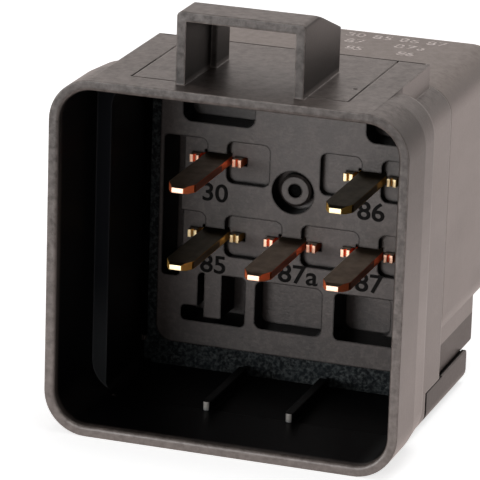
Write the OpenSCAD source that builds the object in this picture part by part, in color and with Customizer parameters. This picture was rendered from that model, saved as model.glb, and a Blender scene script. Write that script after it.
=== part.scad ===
// Skirted automotive relay, five blades, change-over contact.
// X is across the connector, Y runs from the connector rim (0) to the rear, Z is up.
// The origin is the centre of the rim plane. All sizes are in millimetres.

/* [Connector shroud] */
// Outer width and height of the collar
collar_size = 36; // [35:0.5:40]
// Outer corner radius of the collar
collar_corner_r = 4.3; // [3.5:0.1:5]
// Wall of the collar at the rim
collar_wall = 1.05; // [0.8:0.05:1.3]
// Depth of the collar, rim to shoulder
collar_depth = 11.2; // [10.4:0.2:13]
// Radius of the rounded shoulder edge
shoulder_r = 2.2; // [1:0.1:2.6]
// Depth at which the collar starts to draw in
draw_in_start = 5.5; // [4:0.5:7]
// Amount by which the collar draws in before the shoulder
draw_in = 0.25; // [0.1:0.05:0.5]
// Radius of the soft edge round the mouth
mouth_r = 0.35; // [0.2:0.05:0.4]
// Length of the shroud, rim to the seam with the cover
shroud_len = 20.4; // [19:0.2:20.6]
// Inset of the tube from the collar at each side
tube_inset = 1.75; // [1.5:0.05:2]
// Drop from the collar top to the tube top
tube_drop = 2.3; // [2:0.1:2.6]
// Wall of the tube
tube_wall = 0.85; // [0.7:0.05:1.1]
// Upper corner radius of the tube and the cover
tube_corner_r = 3; // [2.2:0.1:3.4]
// Rise of the foot above the collar bottom
foot_lift = 0; // [0:0.1:0.5]
// Length of the foot rails, rim to rear end
foot_len = 30.5; // [28:0.5:34]
// Thickness of the foot floor
foot_floor_t = 1.2; // [1:0.1:1.6]

/* [Top platform and latch loop] */
// Half width of the raised platform
platform_hw = 14.05; // [12.5:0.05:14.5]
// Half width of the panel that is scribed round the loop
panel_hw = 10.95; // [9:0.05:11.5]
// Outer width of the latch loop
loop_w = 12.8; // [11:0.2:15]
// Sideways place of the loop's middle
loop_x = 0.4; // [-1:0.1:1]
// Height of the loop above the platform
loop_h = 7.2; // [6:0.2:8]
// Rim to the front of the loop
loop_front = 2.1; // [1.6:0.1:3]
// Depth of the loop, front to rear
loop_depth = 11.1; // [9:0.1:13]
// Thickness of the legs and the bridge
loop_t = 0.95; // [0.8:0.05:1.2]
// Extra leg thickness in the rear part of the loop
leg_step = 0.6; // [0.3:0.1:0.8]

/* [Header] */
// Seam with the cover to the header face
header_sink = 0.5; // [0.3:0.1:1]
// Half width of the header
header_hw = 14.05; // [13.4:0.05:14.2]
// Bottom edge of the header
header_bottom = -14.55; // [-14.8:0.05:-14.3]
// Top edge of the header
header_top = 13.4; // [13:0.1:13.6]
// Thickness of the header moulding
header_t = 5.4; // [5:0.1:6]
// Wall that holds the blades
header_wall = 2.4; // [2:0.1:2.8]

/* [Blades] */
// Width of a blade
blade_w = 2.8; // [2.6:0.05:3]
// Thickness of a blade
blade_t = 0.8; // [0.6:0.05:0.9]
// Reach of a blade in front of the header
blade_len = 11.5; // [9:0.1:13]
// Spacing of the blade columns
column_pitch = 8.1; // [7.8:0.05:8.4]
// Height of the upper row
upper_row = 5.2; // [4.9:0.05:5.5]
// Height of the lower row
lower_row = -2.7; // [-3:0.05:-2.5]

/* [Rear cover] */
// Air between the magnet and the rear wall of the cover
rear_air = 1.65; // [1:0.05:6]
// Wall of the cover
cover_wall = 1.2; // [1:0.05:1.3]
// Bottom of the main box of the cover
cover_bottom = -11; // [-11.4:0.1:-10.8]
// Radius of the rear edges
cover_edge_r = 1.8; // [1:0.1:2.4]
// Length of the lower skirt behind the seam
skirt_len = 13.1; // [11:0.1:14.6]
// Inset of the skirt from the cover side
skirt_inset = 0.4; // [0.2:0.1:0.6]

/* [Magnet and contacts] */
// Sideways place of the coil axis
coil_x = -3.6; // [-3.8:0.1:-3.4]
// Diameter of the core shaft
core_d = 5; // [4.6:0.1:5.2]
// Outer diameter of the winding
winding_d = 9.8; // [8.8:0.1:10]
// Diameter of the bobbin flanges
flange_d = 10.4; // [10:0.1:10.6]
// Height of the pole face
pole_z = 8.2; // [8:0.1:8.4]
// Thickness of the yoke
yoke_t = 1.6; // [1.4:0.1:1.7]
// Angle through which the armature closes
armature_travel = 3.5; // [2.5:0.1:4]
// Thickness of the armature
armature_t = 1.4; // [1.2:0.1:1.5]
// Air gap left between armature and pole when closed
residual_gap = 0.08; // [0.06:0.01:0.1]
// Thickness of the contact arm
arm_t = 0.3; // [0.25:0.01:0.4]
// Distance from the hinge line to the moving contact
contact_reach = 20; // [19.5:0.1:20.5]
// Diameter of the contact buttons
contact_d = 3; // [2.4:0.1:3.4]

/* [Hidden] */
$fn = 48;
eps = 0.02;             // overlap of cuts and of joined solids
seat_gap = 0.03;        // clearance of pieces that seat in each other

plastic = [0.17, 0.16, 0.155];
cover_plastic = [0.2, 0.18, 0.17];
epoxy = [0.16, 0.19, 0.2];
copper = [0.72, 0.42, 0.28];
brass = [0.7, 0.6, 0.36];
steel = [0.6, 0.6, 0.6];
silver = [0.82, 0.82, 0.8];
enamel_wire = [0.55, 0.25, 0.12];
bobbin_plastic = [0.75, 0.74, 0.68];

// Depths that follow the seam
header_y = shroud_len + header_sink;            // rim to the header face
skirt_rear = shroud_len + skirt_len;

// Collar
collar_half = collar_size / 2;
collar_in = collar_half - collar_wall;
collar_in_r = collar_corner_r - collar_wall;
step_y = collar_depth - 0.9;                    // inner ledge, facing the mouth

// Tube behind the collar; it always leaves room for the header, its seal and the cover wall
seal_min = 1;                                   // least width of the sealing groove
mouth_lip_t = 0.55;                             // wall of the cover mouth under the header
tube_half = max(collar_half - tube_inset, header_hw + seal_min + cover_wall);
tube_top = max(collar_half - tube_drop, header_top + seal_min + cover_wall);
foot_bottom = min(-(collar_half - foot_lift),
    header_bottom - seal_min - mouth_lip_t - seat_gap - foot_floor_t);
foot_corner_r = 1.5;
rail_front = 16.1;                              // a notch parts the rails from the collar
rail_notch = 0.5;
rail_notch_deep = 0.4;
rail_line = 0.14;                               // scribed line along the top of the rails
rail_end_r = 0.6;
tube_in = tube_half - tube_wall;
tube_in_top = tube_top - tube_wall;
tube_in_r = 0.8;                                // lower inner corners of the tube
floor_z = foot_bottom + foot_floor_t;
floor_step = 0.35;                              // the mouth's floor lies this far lower
floor_end = header_y + 1;                       // and ends here
channel_hw = platform_hw - 1;                   // hollow under the platform
channel_top = collar_half - collar_wall;
platform_rear_r = 0.65;                         // soft upper rear edge of the platform
platform_corner_r = 0.8;
panel_line_w = 0.22;
panel_line_deep = 0.16;
rear_line_w = 0.25;                             // wider line along the rear edge
rear_line_end = 0.45;                           // it stops short of the platform's sides

// Floor ribs
rib_w = 0.85;
rib_xs = [-4.35, 4.25];
rib_front = 9.4;
rib_h = 0.9;

// Latch loop
loop_x0 = loop_x - loop_w / 2;
loop_x1 = loop_x + loop_w / 2;
loop_rear = loop_front + loop_depth;
loop_top = collar_half + loop_h;
ramp_start = loop_front + 0.36 * loop_depth;
ramp_drop = 2.7;
leg_step_y = loop_front + 0.66 * loop_depth;

// Header
header_rear = header_y + header_t;
wall_rear = header_y + header_wall;
header_r = 1.8;
pad_depth = 0.75;
pad_r = 0.7;
pad_h = 4.3;
bridge_left = 0.95;                             // level bridge at a blade, left part
bridge_right = 1.15;                            // and right part
root_gap = 0.4;                                 // opening over the root of a blade
ear_pitch = 4.5;                                // between the two ears of a blade
ear_w = 0.95;
ear_proud = 0.25;                               // reach of an ear in front of the header
shoulder_t = 1;                                 // shoulder of a blade behind the wall
strip_gap = 0.3;                                // air between strips of different blades
strip_w = 2.6;
weld_tab = 0.7;                                 // tab of blade 30 on the yoke
weld_y = 1.7;
weld_h = 1.2;
tail_coil = 0.4;                                // reach of the coil blades
riser_set = 2;                                  // riser of blade 87 before its contact
riser_w = 1.6;
upper_pad_z = upper_row;
lower_pad_z = lower_row + 0.15;
upper_pad_x = [-2.45, 2.9];                      // inner ends of the two middle upper pads
vent_x = 0.1;
vent_z = 2.85;
vent_recess_r = 2.2;
vent_sink = 0.7;                                // depth of the disc in the vent recess
vent_groove = 1.9;                              // depth of the ring groove round the disc
vent_disc_r = 1.68;
vent_chamfer = 0.25;
vent_bore_r = 0.7;
top_pocket = 2.9;                               // depth of the slot and the notch at the top
pocket_back = 0.3;                              // wall behind them
core_z0 = -6.6;                                 // hollow at the back of the header
core_z1 = header_top + 1;
header_hollow_x0 = 11.2;
header_hollow_x1 = 13.1;
slot_x0 = 13.6;                                 // long slot beside the left column
long_slot = [-slot_x0, -7.4, -11.7, 7.35];
top_slot = [-11.7, 9, -4.15, 12.2];
top_notch = [7.5, 9, header_hw - 0.6, 12.7];
low_left = [-9.65, -11.85, -4.6, -6.8];
low_left_foot = [-11.4, -12, -4.6, -10.4];
low_left_post = [-9, -11.5, -7.1, -5.5];
low_middle = [-3.5, -11.9, 3.55, -6.9];
low_right = [4.9, -11.95, header_hw - 0.7, -7.05];
low_right_deep = [4.9, -11.95, 9.9, -7.75];
blades = [
    [-column_pitch, upper_row], [column_pitch, upper_row],
    [-column_pitch, lower_row], [0, lower_row], [column_pitch, lower_row]
];

// Magnet and cover stand behind the header in turn
yoke_w = 9;
tail_30 = 1.2;                                  // reach of blade 30 behind the header
magnet_gap = 0.05;                              // blade 30 to the yoke
coil_y = header_rear + tail_30 + magnet_gap + yoke_w / 2;
cover_in_rear = coil_y + yoke_w / 2 + rear_air;
cover_rear = cover_in_rear + cover_wall;        // rim to the rear face

// Cover
cover_half = tube_half;
cover_top = tube_top;
cover_in = cover_half - cover_wall;
cover_in_top = cover_top - cover_wall;
cover_in_bottom = cover_bottom + cover_wall;
cover_mid_z = (cover_top + cover_bottom) / 2;
cover_half_h = (cover_top - cover_bottom) / 2;
skirt_half = cover_half - skirt_inset;
mouth_bottom = floor_z + seat_gap;              // lowest face of the cover mouth
mouth_in_bottom = mouth_bottom + mouth_lip_t;
mouth_half = tube_in - 2 * seat_gap;
mouth_stop_t = 0.6;                             // lip behind the header wall
mouth_in_r = 1.2;
seal_sink = 0.15;                               // header face to the face of the seal
seal_depth = 2.1;
skirt_r = 0.5;
skirt_rear_r = 0.7;
mouth_rear = wall_rear + seat_gap + mouth_stop_t;
skirt_bottom = header_bottom - 0.1;
rail_top = skirt_bottom + 0.3;                  // the rails stand outside the skirt

// Magnet
core_r = core_d / 2;
bore_clear = 0.05;
tube_r = core_r + bore_clear + 0.75;            // outside of the bobbin tube
flange_t = 0.9;
pole_t = 1.2;
pole_r = 3.9;
neck_r = 1.75;                                  // end of the core riveted in the yoke
yoke_bottom = -8.6;
yoke_bend_r = 1.5;
core_head_t = 0.5;                              // riveted end of the core under the yoke
yoke_foot_top = yoke_bottom + yoke_t;
bobbin_z0 = yoke_foot_top + 0.1;
bobbin_z1 = pole_z - pole_t - 0.1;
yoke_x1 = coil_x - flange_d / 2 - 0.8;          // inner face of the long leg
yoke_x0 = yoke_x1 - yoke_t;
hinge_x = (yoke_x0 + yoke_x1) / 2;
hinge_z = pole_z + residual_gap;
armature_z0 = pole_z + residual_gap;            // underside when closed
armature_z1 = armature_z0 + armature_t;
armature_w = 8;
armature_x1 = coil_x + pole_r + 1.2;
contact_x = hinge_x + contact_reach;
arm_z1 = armature_z1 + arm_t;
arm_x0 = hinge_x + 2.6;
arm_w = 5;
arm_flare = 0.5;                                // extra half width over the armature
arm_neck = 0.6;                                 // narrowing towards the contact
arm_tip = 0.9;
arm_neck_len = 1.5;
arm_margin = 0.4;                               // arm in front of the contact
rivet_xs = [hinge_x + 4.6, armature_x1 - 1.8];
rivet_r = 0.7;
rivet_head_r = 1.2;
rivet_head_t = 0.4;
head_t = 0.8;                                   // height of a contact button
shank_r = 0.8;
contact_gap = 0.02;                             // light gap where contacts meet
fixed_t = 0.8;                                  // strip that carries a fixed contact
contact_margin = 0.3;                           // strip around a contact button
no_top = armature_z1 - head_t - contact_gap;    // face of the normally open button
nc_face = hinge_z + (arm_z1 + head_t - hinge_z) * cos(armature_travel)
    + (contact_reach + contact_d / 2) * sin(armature_travel) + contact_gap;
no_strip_top = no_top - head_t;
nc_strip_bottom = nc_face + head_t;

// Return spring between the armature tail and the yoke
spring_x = yoke_x0 - 2.15;
anchor_hw = 1.3;                                // tab on the yoke that holds the spring
anchor_t = 0.8;
spring_r = 1.05;
spring_wire = 0.36;
spring_turns = 9;
spring_z0 = -3.2;
spring_z1 = armature_z0 - 1.1;
tail_x0 = spring_x - 0.6;
tail_hw = 1.4;
spring_sides = 8;
spring_steps = 14;

// Shunt braid
braid_r = 0.6;
braid_on_arm = 1.4;                             // arm edge to the middle of the braid
braid_reach = 3.6;                              // armature end to the braid's end
braid_rise = 3.8;                               // height of the braid over the pole
braid_lean = 1.4;
braid_steps = 30;

// Points that bound a rounded rectangle: [x0, z0, x1, z1]
function grow(b, d) = [b[0] - d, b[1] - d, b[2] + d, b[3] + d];

// ---- Shared shapes ----

// Local x, y, z become X, Z and Y, so outlines are drawn as seen from the rim
module facing(y0 = 0) {
    translate([0, y0, 0]) mirror([0, 1, 0]) rotate([90, 0, 0]) children();
}

module slab(y0, y1) {
    facing(y0) linear_extrude(y1 - y0) children();
}

module rounded(b, r) {
    translate([b[0] + r, b[1]]) square([b[2] - b[0] - 2 * r, b[3] - b[1]]);
    translate([b[0], b[1] + r]) square([b[2] - b[0], b[3] - b[1] - 2 * r]);
    for (x = [b[0] + r, b[2] - r], z = [b[1] + r, b[3] - r])
        translate([x, z]) circle(r);
}

// Outline with one radius for the upper corners and one for the lower corners
module rounded_two(b, r_top, r_bottom) {
    middle = (b[1] + b[3]) / 2;
    rounded([b[0], middle - r_top - 1, b[2], b[3]], r_top);
    rounded([b[0], b[1], b[2], middle + r_bottom + 1], r_bottom);
}

// Carries a profile round a rectangle; its x is the distance from the corner centres
module ring_sweep(hx, hy, r) {
    for (k = [0:3]) {
        a = k % 2 == 0 ? hx : hy;
        b = k % 2 == 0 ? hy : hx;
        rotate([0, 0, 90 * k]) translate([a - r, b - r, 0]) {
            rotate([90, 0, 0]) linear_extrude(2 * (b - r)) children();
            rotate_extrude(angle = 90) children();
        }
    }
}

module bar(x0, x1, y0, y1, z0, z1) {
    translate([x0, y0, z0]) cube([x1 - x0, y1 - y0, z1 - z0]);
}

module upright(x, y, z0, z1, r) {
    translate([x, y, z0]) cylinder(r = r, h = z1 - z0);
}

// ---- Shroud ----

// Section of the collar wall, drawn in at the rear and rounded at the shoulder
module collar_section() {
    r = collar_corner_r;
    shoulder_x = r - draw_in;
    inner = r - collar_wall;
    difference() {
        polygon([
            [inner, 0], [r, 0], [r, draw_in_start],
            [shoulder_x, collar_depth - shoulder_r], [shoulder_x, collar_depth],
            [inner - 1.2, collar_depth], [inner - 1.2, step_y], [inner, step_y]
        ]);
        // Shoulder rounding
        difference() {
            translate([shoulder_x - shoulder_r, collar_depth - shoulder_r])
                square([shoulder_r + 1, shoulder_r + 1]);
            translate([shoulder_x - shoulder_r, collar_depth - shoulder_r]) circle(shoulder_r);
        }
        // Soft inner edge of the mouth
        difference() {
            translate([inner - 1, -1]) square([1 + mouth_r, 1 + mouth_r]);
            translate([inner + mouth_r, mouth_r]) circle(mouth_r);
        }
    }
}

module collar() {
    facing() ring_sweep(collar_half, collar_half, collar_corner_r) collar_section();
}

module tube_outline() {
    rounded_two([-tube_half, foot_bottom, tube_half, tube_top], tube_corner_r, foot_corner_r);
}

module tube_inner_outline() {
    rounded_two([-tube_in, floor_z, tube_in, tube_in_top],
        tube_corner_r - tube_wall, tube_in_r);
}

module shoulder_plate() {
    slab(step_y, collar_depth)
        rounded(grow([-collar_half, -collar_half, collar_half, collar_half],
            -(draw_in + shoulder_r)), collar_corner_r - draw_in - shoulder_r + 0.6);
}

// Platform with soft rear edges
module platform() {
    intersection() {
        bar(-platform_hw, platform_hw, collar_wall, shroud_len, tube_in_top, collar_half);
        across(-platform_hw - 1, platform_hw + 1)
            rounded([-3, tube_in_top - 3, shroud_len, collar_half], platform_rear_r);
        translate([0, 0, tube_in_top - 1]) linear_extrude(collar_half)
            rounded([-platform_hw, -3, platform_hw, shroud_len], platform_corner_r);
    }
}

// Scribed lines round the loop's panel, and the dot beside it
module panel_lines() {
    w = panel_line_w;
    z0 = collar_half - panel_line_deep;
    front = loop_front + 1;
    rear = shroud_len - platform_rear_r;
    line_hw = platform_hw - rear_line_end;
    difference() {
        bar(-panel_hw, panel_hw, front, rear, z0, collar_half + 1);
        bar(-panel_hw + w, panel_hw - w, front + w, rear - w, 0, collar_half + 2);
    }
    bar(-line_hw, line_hw, rear - rear_line_w, rear, collar_half - rear_line_w, collar_half + 1);
    upright(panel_hw - 0.85, loop_front + 5.8, z0, collar_half + 1, w);
}

module loop_side_profile() {
    polygon([
        [loop_front, collar_half - 0.3], [loop_rear, collar_half - 0.3],
        [loop_rear, loop_top - ramp_drop], [ramp_start, loop_top], [loop_front, loop_top]
    ]);
}

// Draws a Y-Z profile and extrudes it along X
module across(x0, x1) {
    translate([x0, 0, 0]) rotate([90, 0, 90]) linear_extrude(x1 - x0) children();
}

module latch_loop() {
    difference() {
        across(loop_x0, loop_x1) loop_side_profile();
        // Rounded upper edges along the depth
        for (s = [-1, 1])
            translate([loop_x + s * (loop_w / 2 - 0.5), 0, loop_top - 0.5])
                rotate([-90, 0, 0])
                    translate([0, 0, -1])
                        difference() {
                            translate([s > 0 ? 0 : -1, -1, 0]) cube([1, 1, loop_rear + 2]);
                            cylinder(r = 0.5, h = loop_rear + 2);
                        }
        loop_opening();
    }
}

// Room under the bridge, from the front face to the given depth
module loop_room(to) {
    intersection() {
        polygon([
            [loop_front - 1, collar_half], [loop_rear + 1, collar_half],
            [loop_rear + 1, loop_top - ramp_drop - loop_t],
            [loop_rear, loop_top - ramp_drop - loop_t],
            [ramp_start, loop_top - loop_t], [loop_front - 1, loop_top - loop_t]
        ]);
        translate([loop_front - 1, collar_half]) square([to - loop_front + 1, loop_h]);
    }
}

module loop_opening() {
    across(loop_x0 + loop_t, loop_x1 - loop_t) loop_room(leg_step_y);
    across(loop_x0 + loop_t + leg_step, loop_x1 - loop_t - leg_step) loop_room(loop_rear + 1);
}

module floor_ribs() {
    for (x = rib_xs) {
        bar(x - rib_w / 2, x + rib_w / 2, rib_front, shroud_len,
            -collar_in - 0.2, -collar_in + rib_h);
        translate([x, rib_front, -collar_in]) cylinder(r = rib_w / 2, h = rib_h);
    }
}

// Floor and side rails that run on under the cover
module foot_rails() {
    difference() {
        intersection() {
            slab(shroud_len - 1, foot_len) tube_outline();
            across(-tube_half - 1, tube_half + 1)
                rounded([shroud_len - 3, foot_bottom, foot_len, rail_top], rail_end_r);
        }
        bar(-tube_in, tube_in, shroud_len - 2, foot_len - 1.2, floor_z, 0);
        bar(-tube_in, tube_in, foot_len - 2, foot_len + 1, floor_z + 0.8, 0);
        // The skirt stands between the lips of the rails
        bar(-skirt_half - seat_gap, skirt_half + seat_gap, shroud_len, foot_len + 1,
            skirt_bottom - seat_gap, 0);
    }
}

// Notch and scribed line that set the rails off from the tube
module rail_marks() {
    for (s = [-1, 1]) translate([s * tube_half, 0, 0]) {
        bar(-rail_notch_deep, rail_notch_deep, rail_front - rail_notch, rail_front,
            foot_bottom - 1, rail_top);
        bar(-rail_line, rail_line, rail_front - eps, shroud_len + 1,
            rail_top - rail_line, rail_top);
    }
}

module shroud() {
    floor_hw = tube_in - tube_in_r;
    color(plastic) {
        difference() {
            union() {
                collar();
                shoulder_plate();
                slab(step_y, shroud_len) tube_outline();
                platform();
                foot_rails();
            }
            // Tube bore, open from the ledge to the cover
            slab(step_y - 1, shroud_len + 1) tube_inner_outline();
            // Hollow under the platform
            bar(-channel_hw, channel_hw, collar_wall + 0.4, shroud_len - 1,
                tube_in_top - 1, channel_top);
            // Connector cavity in front of the ledge
            slab(-1, step_y) rounded([-collar_in, -collar_in, collar_in, collar_in], collar_in_r);
            // The floor runs level from the mouth to the seal
            bar(-floor_hw, floor_hw, step_y - 1, floor_end, floor_z - floor_step, 0);
            panel_lines();
            rail_marks();
        }
        mouth_lip();
        latch_loop();
        floor_ribs();
    }
}

// Thin rounded lip that finishes the rim
module mouth_lip() {
    facing() ring_sweep(collar_half, collar_half, collar_corner_r) {
        translate([collar_corner_r - collar_wall + mouth_r, 0])
            square([collar_wall - mouth_r, mouth_r]);
    }
}

// ---- Rear cover ----

module cover_main() {
    box = [-cover_half, cover_bottom, cover_half, cover_top];
    r = tube_corner_r;
    slab(shroud_len + seat_gap, cover_rear - cover_edge_r) rounded(box, r);
    slab(cover_rear - cover_edge_r - eps, cover_rear)
        rounded(grow(box, -cover_edge_r), r - cover_edge_r);
    // Rounded rear edge
    translate([0, 0, cover_mid_z]) facing(cover_rear - cover_edge_r)
        ring_sweep(cover_half, cover_half_h, r)
            intersection() {
                translate([r - cover_edge_r, 0]) circle(cover_edge_r);
                translate([r - cover_edge_r - eps, 0]) square(cover_edge_r + eps);
            }
}

module rear_cover() {
    skirt_in = skirt_half - cover_wall;
    color(cover_plastic) difference() {
        union() {
            cover_main();
            intersection() {
                slab(shroud_len + seat_gap, skirt_rear)
                    rounded([-skirt_half, skirt_bottom, skirt_half, cover_bottom + 3], skirt_r);
                across(-skirt_half - 1, skirt_half + 1)
                    rounded([shroud_len - 3, skirt_bottom, skirt_rear, cover_bottom + 4],
                        skirt_rear_r);
            }
            slab(floor_end, mouth_rear)
                rounded([-mouth_half, mouth_bottom, mouth_half, cover_bottom + 3], skirt_r);
        }
        // Mouth that takes the header and its seal
        slab(shroud_len - 1, mouth_rear - mouth_stop_t)
            rounded([-cover_in, mouth_in_bottom, cover_in, cover_in_top], mouth_in_r);
        slab(shroud_len - 1, cover_in_rear)
            rounded([-cover_in, cover_in_bottom, cover_in, cover_in_top],
                tube_corner_r - cover_wall);
        slab(shroud_len - 1, skirt_rear - cover_wall)
            rounded([-skirt_in, skirt_bottom + cover_wall, skirt_in, cover_bottom + 4], skirt_r);
    }
}

// ---- Header ----

module header_solid() {
    slab(header_y, wall_rear)
        rounded([-header_hw, header_bottom, header_hw, header_top], header_r);
    slab(wall_rear - eps, header_rear)
        rounded([-header_hw, header_bottom + 1.4, header_hw, header_top], 1);
}

// Sunken pads on both sides of each blade
module header_pads() {
    p = column_pitch;
    left_end = -p - bridge_left;
    left_start = -p + bridge_right;
    right_end = p - bridge_left;
    right_start = p + bridge_right;
    edge = header_hw - 0.7;
    upper = [
        [-slot_x0, left_end], [left_start, upper_pad_x[0]],
        [upper_pad_x[1], right_end], [right_start, edge]
    ];
    lower = [
        [-slot_x0, left_end], [left_start, -bridge_left],
        [bridge_right, right_end], [right_start, edge]
    ];
    slab(header_y - 1, header_y + pad_depth) {
        for (e = upper)
            rounded([e[0], upper_pad_z - pad_h / 2, e[1], upper_pad_z + pad_h / 2], pad_r);
        for (e = lower)
            rounded([e[0], lower_pad_z - pad_h / 2, e[1], lower_pad_z + pad_h / 2], pad_r);
    }
}

// Openings that the blade and its two ears pass through
module blade_openings() {
    for (b = blades) translate([b[0], 0, b[1]]) {
        bar(-blade_w / 2 - seat_gap, blade_w / 2 + seat_gap, header_y - 1, wall_rear + 1,
            -blade_t / 2 - seat_gap, blade_t / 2 + root_gap);
        for (x = [-ear_pitch / 2, ear_pitch / 2])
            bar(x - ear_w / 2 - seat_gap, x + ear_w / 2 + 0.35, header_y - 1, wall_rear + 1,
                -blade_t / 2 - seat_gap, blade_t / 2 + seat_gap);
    }
}

// Outlines of the slot and the notch at the top, grown by d
module top_outlines(d) {
    rounded(grow(top_slot, d), 0.9 + d);
    rounded(grow(top_notch, d), 1 + d);
}

module header_pockets() {
    slab(header_y - 1, header_y + 4.5) rounded(long_slot, 0.4);
    slab(header_y - 1, header_y + top_pocket) top_outlines(0);
    // Three pockets under the lower row
    slab(header_y - 1, header_y + 3.9) difference() {
        union() {
            rounded(low_left, 0.5);
            rounded(low_left_foot, 0.5);
        }
        rounded(low_left_post, 0.1);
    }
    slab(header_y - 1, header_y + 2.3) rounded(low_middle, 0.7);
    slab(header_y - 1, header_y + 3) rounded(low_right, 0.5);
    slab(header_y - 1, header_y + 3.9) rounded(low_right_deep, 0.9);
}

// Recess of the vent with its disc, ring groove and bore
module vent_recess() {
    translate([vent_x, header_y, vent_z]) rotate([-90, 0, 0]) {
        difference() {
            translate([0, 0, -1]) cylinder(r = vent_recess_r, h = 1 + vent_groove);
            translate([0, 0, vent_sink])
                cylinder(r1 = vent_disc_r - vent_chamfer, r2 = vent_disc_r, h = vent_chamfer);
            translate([0, 0, vent_sink + vent_chamfer - eps])
                cylinder(r = vent_disc_r, h = vent_groove);
        }
        cylinder(r = vent_bore_r, h = header_t + 2);
    }
}

module header_base() {
    color(plastic) difference() {
        header_solid();
        header_pads();
        blade_openings();
        header_pockets();
        vent_recess();
        // Hollow behind the blades, with the walls that close the two top pockets
        difference() {
            bar(-header_hollow_x0, header_hollow_x1, wall_rear, header_rear + 1,
                core_z0, core_z1);
            slab(wall_rear - 1, header_y + top_pocket + pocket_back) top_outlines(pocket_back);
        }
    }
}

module perimeter_seal() {
    floor_hw = tube_in - tube_in_r - seat_gap;
    side_hw = tube_in - seat_gap;
    color(epoxy) {
        slab(header_y + seal_sink, header_y + seal_depth) difference() {
            rounded([-cover_in + eps, mouth_in_bottom + eps, cover_in - eps, cover_in_top - eps],
                mouth_in_r);
            rounded([-header_hw - eps, header_bottom - eps, header_hw + eps, header_top + eps],
                header_r + eps);
        }
        // Bead that runs down to the floor in front of the cover mouth
        bar(-side_hw, side_hw, header_y + seal_sink, floor_end - seat_gap,
            floor_z + seat_gap, skirt_bottom - seat_gap);
        bar(-floor_hw, floor_hw, header_y + seal_sink, floor_end - seat_gap,
            floor_z - floor_step + seat_gap, skirt_bottom - seat_gap);
    }
}

module vent_plug() {
    color(bobbin_plastic) translate([vent_x, header_y + vent_sink + 0.5, vent_z])
        rotate([-90, 0, 0]) cylinder(r = vent_bore_r - seat_gap, h = 1.6);
}

// ---- Terminals ----

// Blade with bevelled tip, its two ears and the shoulder behind the header wall
module blade_front() {
    tip_y = header_y - blade_len;
    half = blade_w / 2;
    intersection() {
        translate([0, 0, -blade_t / 2]) linear_extrude(blade_t) polygon([
            [-half + 0.8, tip_y], [half - 0.8, tip_y], [half, tip_y + 1.5],
            [half, wall_rear + shoulder_t], [-half, wall_rear + shoulder_t],
            [-half, tip_y + 1.5]
        ]);
        across(-half - 1, half + 1) polygon([
            [tip_y, -blade_t / 2 + 0.15], [tip_y + 0.6, -blade_t / 2],
            [wall_rear + shoulder_t, -blade_t / 2], [wall_rear + shoulder_t, blade_t / 2],
            [tip_y + 0.6, blade_t / 2], [tip_y, blade_t / 2 - 0.15]
        ]);
    }
    for (s = [-1, 1]) translate([s * ear_pitch / 2, 0, 0]) difference() {
        bar(-ear_w / 2, ear_w / 2, header_y - ear_proud, wall_rear + shoulder_t,
            -blade_t / 2, blade_t / 2);
        // Split end, spread to hold the blade
        translate([0, header_y - ear_proud - 0.1, -blade_t]) rotate([0, 0, 45])
            cube([0.34, 0.34, 2 * blade_t]);
    }
    bar(-ear_pitch / 2 - ear_w / 2, ear_pitch / 2 + ear_w / 2,
        wall_rear + seat_gap, wall_rear + shoulder_t, -blade_t / 2, blade_t / 2);
}

module terminal_30() {
    z0 = upper_row - blade_t / 2;
    z1 = upper_row + blade_t / 2;
    color(copper) {
        translate([-column_pitch, 0, upper_row]) blade_front();
        bar(-column_pitch - blade_w / 2, -column_pitch + blade_w / 2,
            wall_rear + shoulder_t - eps, header_rear + tail_30, z0, z1);
        bar(yoke_x0 - weld_tab - seat_gap, -column_pitch + blade_w / 2,
            header_rear + seat_gap, header_rear + tail_30, z0, z1);
        // Tab welded to the yoke
        bar(yoke_x0 - weld_tab - seat_gap, yoke_x0 - seat_gap,
            header_rear + seat_gap, coil_y - weld_y, z0 - weld_h, z1 + weld_h);
    }
}

module coil_terminal(x, z) {
    color(brass) {
        translate([x, 0, z]) blade_front();
        bar(x - blade_w / 2, x + blade_w / 2, wall_rear + shoulder_t - eps, header_rear + tail_coil,
            z - blade_t / 2, z + blade_t / 2);
    }
}

module terminal_85() {
    coil_terminal(-column_pitch, lower_row);
}

module terminal_86() {
    coil_terminal(column_pitch, upper_row);
}

// Strip stands up behind the header and carries the normally open contact
module terminal_87() {
    x0 = column_pitch - blade_w / 2;
    x1 = column_pitch + blade_w / 2;
    z0 = lower_row - blade_t / 2;
    tip = contact_d / 2 + contact_margin;
    riser_y = coil_y - tip - riser_set;
    color(copper) difference() {
        union() {
            translate([column_pitch, 0, lower_row]) blade_front();
            bar(x0, x1, wall_rear + shoulder_t - eps, riser_y + fixed_t, z0, z0 + blade_t);
            bar(x0, x1, riser_y, riser_y + fixed_t, z0, no_strip_top);
            bar(min(x0, contact_x - tip), contact_x + tip, riser_y, coil_y + tip,
                no_strip_top - fixed_t, no_strip_top);
        }
        upright(contact_x, coil_y, no_strip_top - fixed_t - 1, no_strip_top + 1,
            shank_r + seat_gap);
    }
}

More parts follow.
